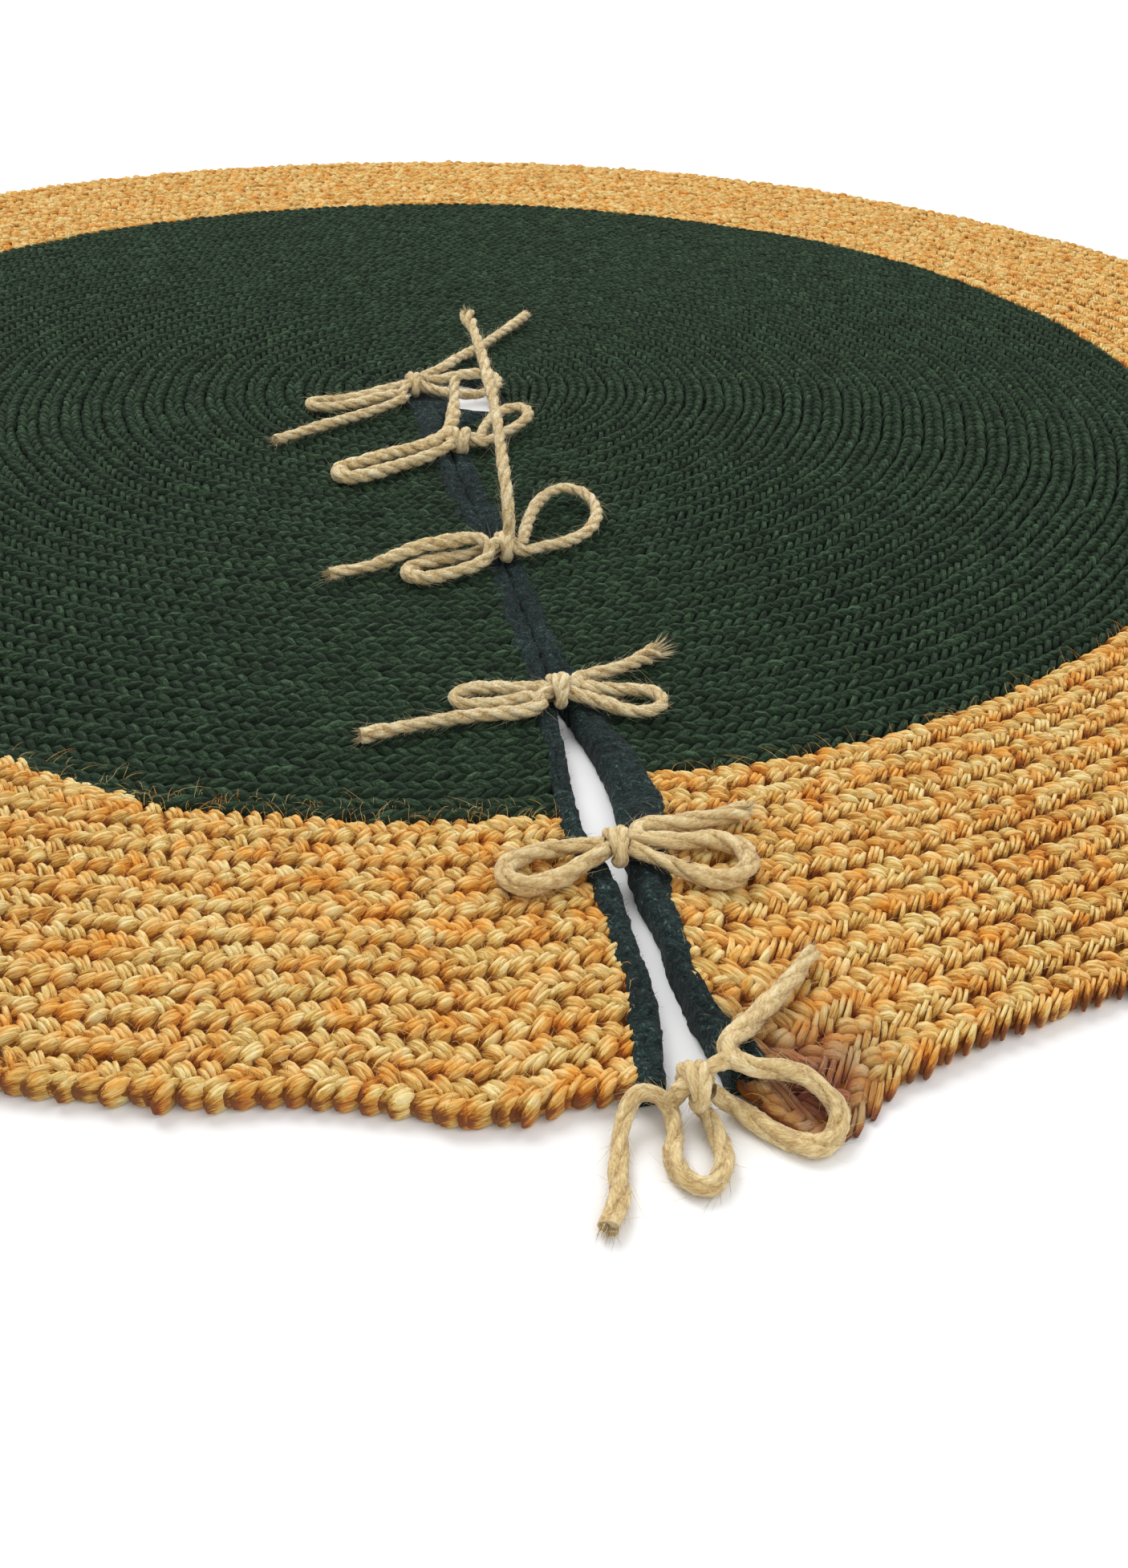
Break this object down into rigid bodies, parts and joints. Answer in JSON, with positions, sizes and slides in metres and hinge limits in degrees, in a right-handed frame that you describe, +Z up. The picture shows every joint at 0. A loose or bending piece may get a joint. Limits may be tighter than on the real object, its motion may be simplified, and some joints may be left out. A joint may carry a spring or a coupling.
{
  "type": "tree skirt",
  "caption": "Round braided tree skirt with a contrasting border, a bound trunk hole and a slit from hole to rim that twine bows tie shut.",
  "frame": {"origin": "centre of the trunk hole, on the floor", "axes": "+Z up; -Y along the slit from the trunk hole to the rim; +X to the right of the slit seen from above with the slit towards the viewer"},
  "size_m": [0.9994, 1.0392, 0.0715],
  "materials": {
    "green_braid": "dark green braided yarn, matt and slightly fuzzy",
    "jute_braid": "natural braided jute, straw to orange brown, matt",
    "felt_binding": "dark blue-green felt strip, fuzzy",
    "jute_twine": "two-ply natural jute twine, hairy"
  },
  "bodies": {
    "skirt_main": {"green_centre_row": "green_braid", "green_braid_1_main": "green_braid", "green_braid_2_main": "green_braid", "green_braid_3_main": "green_braid", "green_braid_4_main": "green_braid", "green_braid_5_main": "green_braid", "jute_start_row_main": "jute_braid", "jute_braid_1_main": "jute_braid", "jute_braid_2_main": "jute_braid", "jute_braid_3_main": "jute_braid", "hole_binding": "felt_binding", "slit_binding_left_inner": "felt_binding", "slit_binding_right_inner": "felt_binding", "tie_1_left": "jute_twine", "tie_1_right": "jute_twine", "knot_1": "jute_twine"},
    "left_flap": {"green_braid_1_left": "green_braid", "green_braid_2_left": "green_braid", "green_braid_3_left": "green_braid", "green_braid_4_left": "green_braid", "green_braid_5_left": "green_braid", "green_end_row_left": "green_braid", "jute_start_row_left": "jute_braid", "jute_braid_1_left": "jute_braid", "jute_braid_2_left": "jute_braid", "jute_braid_3_left": "jute_braid", "slit_binding_left_edge": "felt_binding", "tie_2_left": "jute_twine", "tie_3_left": "jute_twine", "tie_3_raised_tail": "jute_twine", "tie_4_left": "jute_twine", "tie_5_left": "jute_twine", "tie_6_left": "jute_twine", "knot_2": "jute_twine", "knot_3": "jute_twine", "knot_4": "jute_twine", "knot_5": "jute_twine", "knot_6": "jute_twine"},
    "right_flap": {"green_braid_1_right": "green_braid", "green_braid_2_right": "green_braid", "green_braid_3_right": "green_braid", "green_braid_4_right": "green_braid", "green_braid_5_right": "green_braid", "jute_start_row_right": "jute_braid", "jute_braid_1_right": "jute_braid", "jute_braid_2_right": "jute_braid", "jute_braid_3_right": "jute_braid", "slit_binding_right_edge": "felt_binding", "tie_2_right": "jute_twine", "tie_3_right": "jute_twine", "tie_4_right": "jute_twine", "tie_5_right": "jute_twine", "tie_6_right": "jute_twine"}
  },
  "joints": [
    {"name": "left_flap_fold", "type": "hinge", "parent": "skirt_main", "child": "left_flap", "pos_m": [-0.15921, -0.12425, 0.00915], "axis": [-0.866, -0.5, 0], "range_deg": [0, 90]},
    {"name": "right_flap_fold", "type": "hinge", "parent": "skirt_main", "child": "right_flap", "pos_m": [0.15921, -0.12425, 0.00915], "axis": [-0.866, 0.5, 0], "range_deg": [0, 90]}
  ]
}
